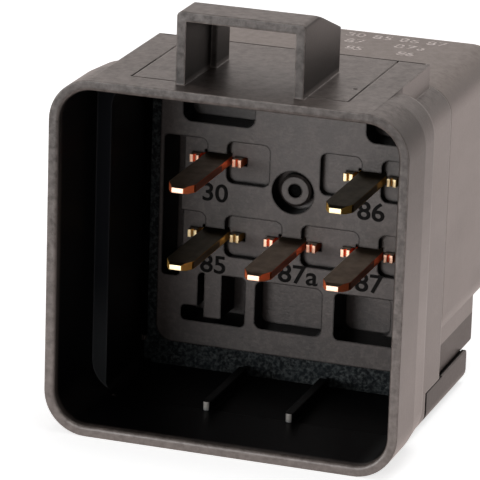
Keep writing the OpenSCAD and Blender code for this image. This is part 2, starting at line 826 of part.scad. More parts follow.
// Strip runs under the neighbouring blade and up to the normally closed contact
module terminal_87a() {
    half = blade_w / 2;
    z0 = lower_row - blade_t / 2;
    strip_y0 = wall_rear + shoulder_t + strip_gap;
    strip_y1 = strip_y0 + fixed_t;
    low = z0 - strip_gap - strip_w;
    riser_x0 = column_pitch + half + 2 * strip_gap;
    riser_x1 = riser_x0 + riser_w;
    tip = contact_d / 2 + contact_margin;
    color(copper) difference() {
        union() {
            translate([0, 0, lower_row]) blade_front();
            bar(-half, half, wall_rear + shoulder_t - eps, strip_y1, z0, z0 + blade_t);
            bar(-half, half, strip_y0, strip_y1, low, z0 + eps);
            bar(-half, riser_x1, strip_y0, strip_y1, low, low + strip_w);
            bar(riser_x0, riser_x1, strip_y0, strip_y1, low, nc_strip_bottom + fixed_t);
            bar(riser_x0, riser_x1, strip_y0, coil_y + tip,
                nc_strip_bottom, nc_strip_bottom + fixed_t);
            bar(contact_x - tip, max(riser_x1, contact_x + tip), coil_y - tip, coil_y + tip,
                nc_strip_bottom, nc_strip_bottom + fixed_t);
        }
        upright(contact_x, coil_y, nc_strip_bottom - 1, nc_strip_bottom + fixed_t + 1,
            shank_r + seat_gap);
    }
}

// ---- Magnet ----

module bobbin() {
    color(bobbin_plastic) difference() {
        union() {
            upright(coil_x, coil_y, bobbin_z0, bobbin_z1, tube_r);
            upright(coil_x, coil_y, bobbin_z0, bobbin_z0 + flange_t, flange_d / 2);
            upright(coil_x, coil_y, bobbin_z1 - flange_t, bobbin_z1, flange_d / 2);
        }
        upright(coil_x, coil_y, bobbin_z0 - 1, bobbin_z1 + 1, core_r + bore_clear);
    }
}

// Straight length of round wire between two points
module wire(p, q, r) {
    d = q - p;
    translate(p) rotate([0, acos(d[2] / norm(d)), atan2(d[1], d[0])])
        cylinder(r = r, h = norm(d), $fn = 16);
}

module coil_winding() {
    z0 = bobbin_z0 + flange_t + seat_gap;
    z1 = bobbin_z1 - flange_t - seat_gap;
    r = winding_d / 2;
    lead = 0.2;
    lift = blade_t / 2 + lead + seat_gap;
    low_end = [-column_pitch + 0.6, header_rear, lower_row + lift];
    high_end = [column_pitch - 0.8, header_rear, upper_row + lift];
    color(enamel_wire) {
        difference() {
            upright(coil_x, coil_y, z0, z1, r);
            upright(coil_x, coil_y, z0 - 1, z1 + 1, tube_r + seat_gap);
        }
        wire(low_end, [coil_x - 0.62 * r, coil_y - 0.72 * r, lower_row - 1], lead);
        wire(high_end, [coil_x + 0.86 * r, coil_y - 0.36 * r, z1 - 0.6], lead);
    }
}

module core() {
    color(steel) {
        upright(coil_x, coil_y, pole_z - pole_t, pole_z, pole_r);
        upright(coil_x, coil_y, yoke_foot_top + seat_gap, pole_z - pole_t + eps, core_r);
        upright(coil_x, coil_y, yoke_bottom - 0.1, yoke_foot_top + 0.1, neck_r);
        upright(coil_x, coil_y, yoke_bottom - core_head_t, yoke_bottom - seat_gap, neck_r + 0.5);
    }
}

// Angle with a rounded outer bend
module yoke_profile() {
    difference() {
        union() {
            translate([yoke_x0, yoke_bottom]) square([yoke_t, pole_z - yoke_bottom]);
            translate([yoke_x0, yoke_bottom]) square([coil_x + pole_r - yoke_x0, yoke_t]);
        }
        difference() {
            translate([yoke_x0 - 1, yoke_bottom - 1]) square(yoke_bend_r + 1);
            translate([yoke_x0 + yoke_bend_r, yoke_bottom + yoke_bend_r]) circle(yoke_bend_r);
        }
    }
}

module yoke() {
    color(steel) difference() {
        union() {
            translate([0, coil_y - yoke_w / 2, 0]) mirror([0, 1, 0]) rotate([90, 0, 0])
                linear_extrude(yoke_w) yoke_profile();
            // Tab that anchors the return spring
            bar(spring_x - spring_r + 0.35, yoke_x0 + 0.5, coil_y - anchor_hw, coil_y + anchor_hw,
                spring_z0 - anchor_t, spring_z0);
        }
        upright(coil_x, coil_y, yoke_bottom - 1, yoke_foot_top + 1, neck_r + eps);
    }
}

// Tilts a closed armature piece to its released position
module released() {
    translate([hinge_x, 0, hinge_z]) rotate([0, -armature_travel, 0])
        translate([-hinge_x, 0, -hinge_z]) children();
}

module armature() {
    color(steel) released() difference() {
        union() {
            bar(yoke_x0, armature_x1, coil_y - armature_w / 2, coil_y + armature_w / 2,
                armature_z0, armature_z1);
            bar(tail_x0, yoke_x0 + 1, coil_y - tail_hw, coil_y + tail_hw, armature_z0, armature_z1);
        }
        for (x = rivet_xs)
            upright(x, coil_y, armature_z0 - 1, armature_z1 + 1, rivet_r + eps);
    }
}

module contact_arm() {
    tip = contact_x + contact_d / 2 + arm_margin;
    neck_x = armature_x1 + arm_neck_len;
    wide = arm_w / 2 + arm_flare;
    neck = arm_w / 2 - arm_neck;
    narrow = arm_w / 2 - arm_tip;
    color(brass) released() difference() {
        translate([0, coil_y, armature_z1 + eps / 2]) linear_extrude(arm_t) polygon([
            [arm_x0, -wide], [armature_x1, -wide], [neck_x, -neck], [tip, -narrow],
            [tip, narrow], [neck_x, neck], [armature_x1, wide], [arm_x0, wide]
        ]);
        for (x = rivet_xs)
            upright(x, coil_y, armature_z1 - 1, arm_z1 + 1, rivet_r + eps);
        upright(contact_x, coil_y, armature_z1 - 1, arm_z1 + 1, shank_r + eps);
    }
}

module armature_rivets() {
    color(steel) released() for (x = rivet_xs) {
        upright(x, coil_y, armature_z0 + 0.1, arm_z1 + 0.1, rivet_r);
        upright(x, coil_y, arm_z1 + seat_gap, arm_z1 + rivet_head_t, rivet_head_r);
    }
}

module moving_contact() {
    color(silver) released() {
        upright(contact_x, coil_y, armature_z1 - head_t, armature_z1, contact_d / 2);
        upright(contact_x, coil_y, armature_z1 - 0.1, arm_z1 + 0.1, shank_r);
        upright(contact_x, coil_y, arm_z1 + seat_gap, arm_z1 + head_t, contact_d / 2);
    }
}

module contact_no() {
    color(silver) {
        upright(contact_x, coil_y, no_strip_top + eps / 2, no_top, contact_d / 2);
        upright(contact_x, coil_y, no_strip_top - fixed_t, no_strip_top + 0.1, shank_r);
    }
}

module contact_nc() {
    color(silver) {
        upright(contact_x, coil_y, nc_face, nc_strip_bottom - eps / 2, contact_d / 2);
        upright(contact_x, coil_y, nc_strip_bottom - 0.1, nc_strip_bottom + fixed_t, shank_r);
    }
}

// ---- Flexible pieces ----

function unit(v) = v / norm(v);
function path_dir(p, i) = unit(p[min(i + 1, len(p) - 1)] - p[max(i - 1, 0)]);
// Ring of points round a path, kept upright by a fixed side vector
function path_ring(p, i, r, side, n) =
    let (t = path_dir(p, i), u = unit(cross(t, side)), v = cross(t, u))
    [for (k = [0:n - 1]) p[i] + r * (cos(360 * k / n) * u + sin(360 * k / n) * v)];

module tube_along(p, r, side, n) {
    m = len(p);
    polyhedron(
        points = [for (i = [0:m - 1]) each path_ring(p, i, r, side, n)],
        faces = [
            [for (k = [0:n - 1]) k],
            for (i = [0:m - 2], k = [0:n - 1]) each [
                [i * n + k, (i + 1) * n + k, (i + 1) * n + (k + 1) % n],
                [i * n + k, (i + 1) * n + (k + 1) % n, i * n + (k + 1) % n]
            ],
            [for (k = [n - 1:-1:0]) (m - 1) * n + k]
        ]);
}

function spring_point(i) =
    let (a = 360 * i / spring_steps, h = (spring_z1 - spring_z0 - spring_wire) / spring_turns)
    [spring_x + spring_r * cos(a), coil_y + spring_r * sin(a),
        spring_z0 + spring_wire / 2 + seat_gap + h * i / spring_steps];

module return_spring() {
    color(steel) tube_along(
        [for (i = [0:spring_turns * spring_steps]) spring_point(i)],
        spring_wire / 2, [0, 0, 1], spring_sides);
}

// Smooth curve through the corners of a hand-laid route
function bend(p, t) =
    let (k = min(floor(t), len(p) - 2), f = t - k,
        a = p[max(k - 1, 0)], b = p[k], c = p[k + 1], d = p[min(k + 2, len(p) - 1)])
    0.5 * (2 * b + (c - a) * f + (2 * a - 5 * b + 4 * c - d) * f * f
        + (3 * b - a - 3 * c + d) * f * f * f);

// Rope from blade 30 over the armature to the contact arm
module shunt_braid() {
    r = braid_r;
    y0 = header_rear - 0.6;
    y1 = header_rear - 0.9;
    arm_y = coil_y - arm_w / 2 + braid_on_arm;
    x_end = armature_x1 + braid_reach;
    z_end = arm_z1 + (x_end - hinge_x) * tan(armature_travel) + r + 0.08;
    z_top = pole_z + braid_rise;
    route = [
        [-column_pitch, y0, upper_row + blade_t / 2 + r + seat_gap],
        [-column_pitch + braid_lean, y1, upper_row + 2 * braid_lean],
        [-column_pitch + 3 * braid_lean, y1, z_top - braid_lean],
        [coil_x + braid_lean, y1, z_top],
        [armature_x1 + braid_lean, header_rear + r, z_end + braid_lean / 2],
        [x_end, arm_y - braid_lean, z_end + braid_lean / 4],
        [x_end, arm_y, z_end]
    ];
    color(copper) tube_along(
        [for (i = [0:braid_steps]) bend(route, i * (len(route) - 1) / braid_steps)],
        r, [0.3, 0.2, 1], spring_sides);
}

// ---- Draw list ----
shroud();
rear_cover();
header_base();
perimeter_seal();
vent_plug();
terminal_30();
terminal_85();
terminal_86();
terminal_87();
terminal_87a();
bobbin();
coil_winding();
core();
yoke();
armature();
contact_arm();
armature_rivets();
moving_contact();
contact_no();
contact_nc();
return_spring();
shunt_braid();
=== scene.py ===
"""Looks of the plug-in relay: materials, moulded numbers, print, floor, light and camera.

All lengths are in metres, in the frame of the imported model: X to the right seen from the
rim, Y from the rim to the rear, Z up.
"""

import math

import bpy
from mathutils import Matrix, Vector


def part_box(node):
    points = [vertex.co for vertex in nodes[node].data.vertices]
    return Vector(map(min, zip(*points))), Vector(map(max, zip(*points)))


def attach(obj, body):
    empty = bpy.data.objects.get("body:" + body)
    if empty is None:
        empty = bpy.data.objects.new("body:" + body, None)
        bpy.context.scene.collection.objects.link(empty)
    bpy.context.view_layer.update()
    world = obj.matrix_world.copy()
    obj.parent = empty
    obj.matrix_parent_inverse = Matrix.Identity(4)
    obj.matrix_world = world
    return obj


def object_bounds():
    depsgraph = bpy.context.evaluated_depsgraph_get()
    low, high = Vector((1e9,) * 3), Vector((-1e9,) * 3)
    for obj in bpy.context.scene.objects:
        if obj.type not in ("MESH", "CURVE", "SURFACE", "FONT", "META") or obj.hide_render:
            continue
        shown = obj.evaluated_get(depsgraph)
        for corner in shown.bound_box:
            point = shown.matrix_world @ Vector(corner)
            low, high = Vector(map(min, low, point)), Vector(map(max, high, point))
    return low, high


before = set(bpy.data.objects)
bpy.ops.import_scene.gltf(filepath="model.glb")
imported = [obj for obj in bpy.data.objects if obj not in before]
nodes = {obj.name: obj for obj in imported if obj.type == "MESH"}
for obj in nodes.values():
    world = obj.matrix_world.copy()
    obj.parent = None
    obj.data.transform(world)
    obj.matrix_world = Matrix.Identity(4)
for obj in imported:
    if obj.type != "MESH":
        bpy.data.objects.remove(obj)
cad_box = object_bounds()
scene = bpy.context.scene

MM = 0.001

# Driving places of the mouldings, from the frame
SHROUD_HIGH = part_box("shroud")[1]
COVER_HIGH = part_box("rear_cover")[1]
HEADER_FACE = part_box("header_base")[0][1]
COLLAR_HALF = SHROUD_HIGH[0]                    # half the square collar
LOOP_TOP = SHROUD_HIGH[2]
LEDGE = 10.3 * MM                               # the collar ends here and the tube begins
RAIL_TOP = -14.355 * MM                         # just below the upper faces of the rails
RAIL_FRONT = 15.6 * MM
SKIRT_TOP = -11.35 * MM

# Outlines of the openings as half width, bottom, top and corner radius. Each runs within
# the thickness of the wall, so that a mask changes where no face shows it.
COLLAR_WALL = COLLAR_HALF - 0.8 * MM
COLLAR_MOUTH = (COLLAR_WALL, -COLLAR_WALL, COLLAR_WALL, 3.5 * MM)
FLOOR_WALL = -COLLAR_HALF + 0.7 * MM
TUBE_MOUTH = (COVER_HIGH[0] - 0.15 * MM, FLOOR_WALL, COVER_HIGH[2] - 0.3 * MM, 2.6 * MM)
TUBE_LOWER_HALF = (COVER_HIGH[0] - 0.15 * MM, FLOOR_WALL, 0, 1.0 * MM)
PLATFORM_CHANNEL = (13.4 * MM, 0, COLLAR_HALF - 0.7 * MM, 0.3 * MM)
RIB_END = (6 * MM, FLOOR_WALL, FLOOR_WALL + 1.9 * MM, 0.1 * MM)
COVER_MOUTH = (COVER_HIGH[0] - 0.75 * MM, -14.2 * MM, COVER_HIGH[2] - 0.75 * MM, 0.5 * MM)
COVER_MOUTH_END = 23.5 * MM

# Light
WORLD_LIGHT = 0.25                              # on the object; the background shows at 1
FLOOR_GLOW = 0.7                                # of the floor, to the camera alone
FLOOR_HALF = 3.0
FLOOR_DROP = 0.02 * MM                          # keeps the floor clear of the foot
FLOOR_FADE = (0.03, 0.15)                       # the floor's reflection dims over this range
FLOOR_FAR_GLOSS = 0.28                          # and keeps this share beyond it
FRONT_LIGHT = {"place": (-0.30, -0.50, 0.04), "size": (0.40, 0.10), "power": 2.9}
TOP_LIGHT = {"place": (0.10, 0.10, 0.60), "size": (0.35, 0.35), "power": 1.2}
LIGHT_AIM = (0, 0.01, 0)

# Camera
CAMERA_PLACE = (116.23, -343.86, 118.02)        # mm
CAMERA_AIM = (-1.671, 10, 0.814)                # mm
CAMERA_ROLL = 1.817                             # degrees
CAMERA_LENS = 300.2


def srgb(red, green, blue):
    """Linear colour from 0..255 display values."""
    def linear(value):
        value /= 255
        if value <= 0.04045:
            return value / 12.92
        return ((value + 0.055) / 1.055) ** 2.4
    return (linear(red), linear(green), linear(blue), 1)


def grey(level):
    """Neutral colour of a linear level, also for a mask that is mixed as a colour."""
    return (level, level, level, 1)


WHITE = grey(1)
# Painted shade: the deep black inside the openings and the black of the shaded outside faces
SHADE_DEEP_BLACK = srgb(3, 3, 4)
SHADE_BLACK = srgb(16, 15, 14)


# ---- Node helpers ----

class Nodes:
    """Small builder for a node tree; masks run from 0 to 1."""

    def __init__(self, tree):
        self.tree = tree

    def add(self, kind):
        return self.tree.nodes.new("ShaderNode" + kind)

    def feed(self, socket, value):
        """Give an input a plain value, or link it to an output."""
        if isinstance(value, bpy.types.NodeSocket):
            self.tree.links.new(value, socket)
        else:
            socket.default_value = value

    def math(self, operation, first, second=0.0):
        node = self.add("Math")
        node.operation = operation
        self.feed(node.inputs[0], first)
        self.feed(node.inputs[1], second)
        return node.outputs[0]

    def both(self, first, *others):
        """Product: where all masks are set, or a mask at a lower strength."""
        for other in others:
            first = self.math("MULTIPLY", first, other)
        return first

    def either(self, first, *others):
        """Largest: where any mask is set."""
        for other in others:
            first = self.math("MAXIMUM", first, other)
        return first

    def rest(self, mask):
        return self.math("SUBTRACT", 1.0, mask)

    def below(self, value, limit):
        return self.math("LESS_THAN", value, limit)

    def above(self, value, limit):
        return self.math("GREATER_THAN", value, limit)

    def step(self, value, low, high):
        """0 below low, 1 above high, smooth between."""
        node = self.add("MapRange")
        node.interpolation_type = "SMOOTHSTEP"
        self.feed(node.inputs["From Min"], low)
        self.feed(node.inputs["From Max"], high)
        self.feed(node.inputs["Value"], value)
        return node.outputs["Result"]

    def band(self, value, rise, fall):
        """1 between a smooth rise and a smooth fall, each a (low, high) pair."""
        return self.math("SUBTRACT", self.step(value, *rise), self.step(value, *fall))

    def spread(self, value, low, high):
        """Turns 0 to 1 into low to high."""
        node = self.add("MapRange")
        self.feed(node.inputs["To Min"], low)
        self.feed(node.inputs["To Max"], high)
        self.feed(node.inputs["Value"], value)
        return node.outputs["Result"]

    def ramp(self, value, *stops):
        """Turns a value into levels, through (position, level) stops."""
        node = self.add("ValToRGB")
        elements = node.color_ramp.elements
        for element, (position, level) in zip(elements, stops):
            element.position = position
            element.color = grey(level)
        self.feed(node.inputs["Fac"], value)
        return node.outputs["Color"]

    def mix(self, factor, first, second):
        node = self.add("Mix")
        node.data_type = "RGBA"
        self.feed(node.inputs[0], factor)
        self.feed(node.inputs[6], first)
        self.feed(node.inputs[7], second)
        return node.outputs[2]

    def part_of(self, vector, axis):
        node = self.add("SeparateXYZ")
        self.feed(node.inputs["Vector"], vector)
        return node.outputs[axis]


class Material(Nodes):
    """One surface; its textures and masks are laid out in the object's own metres."""

    def __init__(self, name):
        self.material = bpy.data.materials.new(name)
        self.material.use_nodes = True
        super().__init__(self.material.node_tree)
        self.shader = self.tree.nodes["Principled BSDF"]
        self.place = self.add("TexCoord").outputs["Object"]

    def noise(self, scale, detail=4, roughness=0.5, stretch=(1, 1, 1)):
        """Cloudy pattern; scale is in waves per metre, along each axis times stretch."""
        place = self.place
        if stretch != (1, 1, 1):
            mapping = self.add("Mapping")
            self.feed(mapping.inputs["Scale"], stretch)
            self.feed(mapping.inputs["Vector"], place)
            place = mapping.outputs["Vector"]
        node = self.add("TexNoise")
        self.feed(node.inputs["Scale"], scale)
        self.feed(node.inputs["Detail"], detail)
        self.feed(node.inputs["Roughness"], roughness)
        self.feed(node.inputs["Vector"], place)
        return node.outputs["Fac"]

    def normal(self):
        return self.add("NewGeometry").outputs["Normal"]

    def soft_normal(self, radius):
        """Normal of the surface with its edges rounded."""
        node = self.add("Bevel")
        node.samples = 6
        self.feed(node.inputs["Radius"], radius)
        return node.outputs["Normal"]

    def edge(self, radius, low, high):
        """Mask of sharp edges: how far the softened normal turns from the surface's own."""
        node = self.add("VectorMath")
        node.operation = "DOT_PRODUCT"
        self.feed(node.inputs[0], self.soft_normal(radius))
        self.feed(node.inputs[1], self.normal())
        return self.ramp(node.outputs["Value"], (low, 1.0), (high, 0.0))

    def axis(self, name):
        """Place along the named axis."""
        return self.part_of(self.place, name)

    def facing(self, name, low, high):
        """1 where the surface faces along the named axis, either way."""
        turned = self.math("ABSOLUTE", self.part_of(self.normal(), name))
        return self.step(turned, low, high)

    def outline(self, half, low, high, radius):
        """1 inside a rounded rectangle in X and Z, 0 outside it."""
        middle, tall = (high + low) / 2, (high - low) / 2
        across = self.math("SUBTRACT", self.math("ABSOLUTE", self.axis("X")), half - radius)
        offset = self.math("ABSOLUTE", self.math("SUBTRACT", self.axis("Z"), middle))
        up = self.math("SUBTRACT", offset, tall - radius)
        squares = [self.math("POWER", self.math("MAXIMUM", value, 0.0), 2.0)
                   for value in (across, up)]
        reach = self.math("SQRT", self.math("ADD", *squares))
        return self.below(reach, radius)

    def colour(self, value):
        self.feed(self.shader.inputs["Base Color"], value)

    def metallic(self, value=1.0):
        self.feed(self.shader.inputs["Metallic"], value)

    def reflection(self, value):
        """Strength of the surface reflection; 0.5 is that of plain plastic."""
        self.feed(self.shader.inputs["Specular IOR Level"], value)

    def roughness(self, value, low, high):
        self.feed(self.shader.inputs["Roughness"], self.spread(value, low, high))

    def bump(self, height, distance, soft_edge=0.0):
        """Uneven surface; soft_edge is the radius at which sharp edges are shaded."""
        node = self.add("Bump")
        self.feed(node.inputs["Distance"], distance)
        self.feed(node.inputs["Height"], height)
        if soft_edge:
            self.feed(node.inputs["Normal"], self.soft_normal(soft_edge))
        self.feed(self.shader.inputs["Normal"], node.outputs["Normal"])


# ---- Materials ----

def moulded_plastic(m, dark, light, scuff_and_highlight):
    """Black glass-filled plastic; returns its colour and the strength of its reflection.

    Clouded all over, with a blotchy grain on the faces turned up or forward, and pale
    edges that are partly scuffs and partly painted highlight.
    """
    clouds = m.ramp(m.noise(140, 5, 0.6), (0.3, 0.0), (0.72, 1.0))
    grain = m.ramp(m.noise(1300, 5, 0.72), (0.36, 0.0), (0.64, 1.0))
    grain = m.mix(m.facing("X", 0.4, 0.9), grain, grey(0.5))
    base = m.mix(clouds, dark, light)
    base = m.mix(m.both(grain, 0.35), base, scuff_and_highlight)
    # Pale edges: partly scuffs and wear, partly painted highlight along the edges
    rubbed = m.ramp(m.noise(900, 4, 0.7), (0.34, 0.1), (0.62, 0.7))
    worn_and_highlit_edges = m.both(m.edge(0.22 * MM, 0.93, 0.995), rubbed)
    base = m.mix(worn_and_highlit_edges, base, m.mix(0.5, scuff_and_highlight, srgb(176, 166, 160)))
    fine = m.noise(5200, 3, 0.6)
    flow_lines = m.noise(260, 4, 0.55, (1, 0.25, 1))
    m.roughness(m.mix(0.5, flow_lines, fine), 0.30, 0.46)
    m.bump(m.mix(0.35, fine, clouds), 0.02 * MM, soft_edge=0.25 * MM)
    return base, m.math("ADD", m.both(grain, 0.34), 0.33)


def finish_shroud():
    """Outside grained and grey; inside of the connector painted deep black as shade, with
    painted highlights.
    """
    m = Material("shroud_plastic")
    outside, gloss = moulded_plastic(m, srgb(37, 33, 31), srgb(61, 54, 51), srgb(106, 97, 92))
    depth, height = m.axis("Y"), m.axis("Z")
    ahead = m.facing("Y", 0.7, 0.9)
    in_collar = m.below(depth, LEDGE + 0.1 * MM)

    # Inside: walls painted deep black as shade, faces turned forward a little lighter as
    # painted light, and painted highlights on the ledge low down and on the ends of the two
    # ribs
    collar = m.both(m.outline(*COLLAR_MOUTH), in_collar)
    tube = m.either(m.outline(*TUBE_MOUTH), m.outline(*PLATFORM_CHANNEL),
                    m.outline(*TUBE_LOWER_HALF))
    tube = m.both(tube, m.above(depth, LEDGE))
    cavity = m.both(m.either(collar, tube), m.step(depth, 0.4 * MM, 1.2 * MM))
    forward = m.both(m.facing("Y", 0.6, 0.9), m.below(depth, 12 * MM))
    low_ledge = m.both(forward, m.rest(m.step(height, -15 * MM, -4 * MM)))
    rib_end = m.both(forward, m.outline(*RIB_END), m.step(height, -17.1 * MM, -16.5 * MM))
    inside = m.mix(forward, SHADE_DEEP_BLACK, srgb(24, 26, 30))
    inside = m.mix(low_ledge, inside, srgb(66, 68, 70))
    inside = m.mix(rib_end, inside, srgb(112, 109, 105))

    # Outside: painted shade on the parts that stay darker, each with its depth, and painted
    # light on the lower rim
    over_collar = (COLLAR_HALF, COLLAR_HALF + 0.2 * MM)
    loop_side = m.both(m.facing("X", 0.7, 0.9),
                       m.step(height, COLLAR_HALF + 0.2 * MM, COLLAR_HALF + 0.6 * MM))
    loop_leg = m.both(ahead, m.band(height, (COLLAR_HALF, COLLAR_HALF + 0.3 * MM),
                                    (LOOP_TOP - 2.8 * MM, LOOP_TOP - 1.6 * MM)))
    collar_side = m.both(m.facing("X", 0.3, 1.0), in_collar,
                         m.band(height, (-12 * MM, 17 * MM), over_collar))
    rim_top = m.both(ahead, m.step(height, 4 * MM, 17 * MM))
    rim_low = m.both(ahead, m.rest(m.step(height, -17.5 * MM, 6 * MM)))
    rail = m.both(m.below(height, RAIL_TOP), m.above(depth, RAIL_FRONT))
    shaded = m.either(m.both(loop_side, 0.82), m.both(loop_leg, 0.35),
                      m.both(collar_side, 0.72), m.both(rim_top, 0.18), m.both(rail, 0.8))
    outside = m.mix(m.both(rim_low, 0.4), outside, srgb(122, 113, 109))
    outside = m.mix(shaded, outside, SHADE_BLACK)

    m.colour(m.mix(cavity, outside, inside))
    gloss = m.both(gloss, m.rest(m.both(shaded, 0.95)))
    m.reflection(m.mix(cavity, gloss, m.mix(rib_end, grey(0.06), grey(0.5))))
    return m


def finish_cover():
    """A little warmer than the shroud; painted light on the faces turned up, painted shade on
    the skirt and inside the mouth.
    """
    m = Material("cover_plastic")
    base, gloss = moulded_plastic(m, srgb(50, 43, 40), srgb(72, 63, 59), srgb(116, 105, 99))
    # Painted light: the faces turned up are paler
    base = m.mix(m.both(m.facing("Z", 0.4, 0.95), 0.5), base, srgb(124, 112, 105))
    skirt = m.below(m.axis("Z"), SKIRT_TOP)
    mouth = m.both(m.below(m.axis("Y"), COVER_MOUTH_END), m.outline(*COVER_MOUTH))
    # Painted shade on the skirt; the mouth is painted deep black as shade
    base = m.mix(m.both(skirt, 0.5), base, SHADE_BLACK)
    m.colour(m.mix(mouth, base, SHADE_DEEP_BLACK))
    m.reflection(m.both(gloss, m.rest(m.either(m.both(skirt, 0.8), mouth))))
    return m


def finish_header():
    """Spark-eroded face; the walls and the edges of its recesses are painted black as shade.
    """
    m = Material("header_plastic")
    mottle = m.noise(240, 4, 0.55)
    fine = m.noise(4200, 3)
    specks = m.ramp(m.noise(1600, 4, 0.7), (0.45, 0.0), (0.68, 0.3))
    base = m.mix(m.ramp(mottle, (0.3, 0.0), (0.75, 1.0)), srgb(36, 32, 31), srgb(50, 44, 42))
    base = m.mix(specks, base, srgb(90, 82, 79))
    # Painted shade: the walls and edges of the recesses are black, with little reflection
    level = m.both(m.facing("Y", 0.3, 0.8), m.rest(m.edge(0.34 * MM, 0.84, 0.99)))
    m.colour(m.mix(level, srgb(2, 2, 2), base))
    m.reflection(m.spread(level, 0.03, 0.5))
    m.roughness(fine, 0.30, 0.42)
    m.bump(m.mix(0.4, fine, mottle), 0.02 * MM, soft_edge=0.06 * MM)
    return m


def finish_seal():
    """Poured resin, blotched grey on black."""
    m = Material("seal_resin")
    blotch = m.ramp(m.noise(2600, 5, 0.72), (0.45, 0.0), (0.68, 1.0))
    clouds = m.ramp(m.noise(500, 5), (0.3, 0.0), (0.7, 1.0))
    base = m.mix(clouds, srgb(3, 5, 7), srgb(14, 19, 22))
    m.colour(m.mix(m.both(blotch, 0.35), base, srgb(62, 70, 70)))
    m.reflection(m.spread(blotch, 0.06, 0.3))
    m.roughness(m.noise(1500, 3), 0.45, 0.7)
    m.bump(m.noise(1300, 5, 0.65), 0.12 * MM)
    return m


def strip_metal(name, face, side, cut, tip, keen):
    """Rolled strip: dull on the faces, bright at the ends and along the sheared edges.

    face, side and cut colour the flat, the sheared side and the end, the end partly as
    painted highlight; tip is the place of the free end, and keen the brightness of the side's
    painted shade.
    """
    m = Material(name)
    depth = m.axis("Y")
    cloud = m.noise(700, 4, 0.6)
    lines = m.noise(2400, 3, 0.5, (1, 0.05, 1))
    flat = m.facing("Z", 0.75, 0.95)
    ends = m.facing("Y", 0.80, 0.97)
    dulled = m.mix(m.ramp(cloud, (0.35, 0.0), (0.7, 0.35)), face, srgb(40, 36, 30))
    # Painted highlight along the edges, near the tip and near the header, on top of the
    # sheared metal's own colour; elsewhere the sheared side is painted dark as shade
    bare_and_highlit = m.either(m.edge(0.24 * MM, 0.80, 0.985), m.below(depth, tip + 1.3 * MM),
                    m.above(depth, HEADER_FACE - 2.2 * MM))
    sheared = m.mix(bare_and_highlit, m.mix(keen, srgb(20, 15, 11), side), side)
    m.colour(m.mix(ends, m.mix(flat, sheared, dulled), cut))
    m.metallic()
    blunt = m.both(bare_and_highlit, m.rest(flat))
    m.roughness(m.mix(blunt, m.mix(0.5, lines, cloud), WHITE), 0.2, 0.56)
    m.bump(lines, 0.012 * MM, soft_edge=0.16 * MM)
    return m


def plain_metal(name, first, second, rough, brushed=(1, 1, 0.1)):
    """Two close tones with fine brush lines; rough is a (low, high) pair."""
    m = Material(name)
    lines = m.noise(3000, 3, 0.5, brushed)
    m.colour(m.mix(m.ramp(m.noise(500, 4), (0.3, 0.0), (0.7, 1.0)), first, second))
    m.metallic()
    m.roughness(lines, *rough)
    m.bump(lines, 0.01 * MM)
    return m


def finish_winding():
    """Lacquered turns of fine wire wound round the upright coil."""
    m = Material("enamelled_wire")
    wave = m.add("TexWave")
    wave.bands_direction = "Z"
    m.feed(wave.inputs["Scale"], 1250)
    m.feed(wave.inputs["Distortion"], 0.6)
    m.feed(wave.inputs["Vector"], m.place)
    turns = wave.outputs["Fac"]
    m.colour(m.mix(turns, srgb(96, 38, 18), srgb(188, 96, 48)))
    m.metallic(0.75)
    m.feed(m.shader.inputs["Coat Weight"], 0.6)
    m.roughness(turns, 0.24, 0.4)
    m.bump(turns, 0.08 * MM)
    return m


def finish_braid():
    """Bare copper strands, light on the crowns and brown between them."""
    m = Material("braid_copper")
    strands = m.noise(3600, 2, 0.4, (1, 0.35, 0.2))
    crowns = m.ramp(strands, (0.35, 0.0), (0.6, 1.0))
    m.colour(m.mix(crowns, srgb(120, 62, 38), srgb(208, 128, 88)))
    m.metallic()
    m.roughness(strands, 0.3, 0.5)
    m.bump(strands, 0.1 * MM)
    return m


def finish_vent():
    """Dark porous plug at the bottom of its bore."""
    m = Material("vent_filter")
    pores = m.noise(6000, 3)
    m.colour(m.mix(pores, srgb(2, 2, 2), srgb(14, 14, 14)))
    m.reflection(0.05)
    m.roughness(m.noise(5000, 3), 0.8, 1.0)
    m.bump(pores, 0.05 * MM)
    return m


def finish_bobbin():
    """Natural, slightly yellowed plastic."""
    m = Material("bobbin_plastic")
    m.colour(m.mix(m.noise(300, 3), srgb(196, 192, 176), srgb(214, 210, 196)))
    m.roughness(m.noise(2000, 3), 0.35, 0.5)
    m.bump(m.noise(3000, 3), 0.02 * MM)
    return m


def number_shade():
    """Moulded numbers painted near black, darker than the face they stand on: painted shade
    of their relief.
    """
    m = Material("number_plastic_shade")
    m.colour(m.mix(m.noise(900), srgb(2, 2, 2), srgb(5, 5, 5)))
    m.reflection(0.05)
    m.roughness(m.noise(2500), 0.3, 0.45)
    m.bump(m.noise(2500), 0.01 * MM)
    return m


def print_ink():
    """Pale pad print, unevenly laid on."""
    m = Material("print_ink")
    laid = m.ramp(m.noise(2600, 3, 0.6), (0.4, 0.0), (0.6, 1.0))
    m.colour(m.mix(laid, srgb(168, 156, 152), srgb(238, 226, 222)))
    m.roughness(m.noise(1800), 0.5, 0.7)
    m.bump(m.noise(1800), 0.01 * MM)
    return m


def paint(surface, *names):
    for name in names:
        mesh = nodes[name].data
        mesh.materials.clear()
        mesh.materials.append(surface.material)


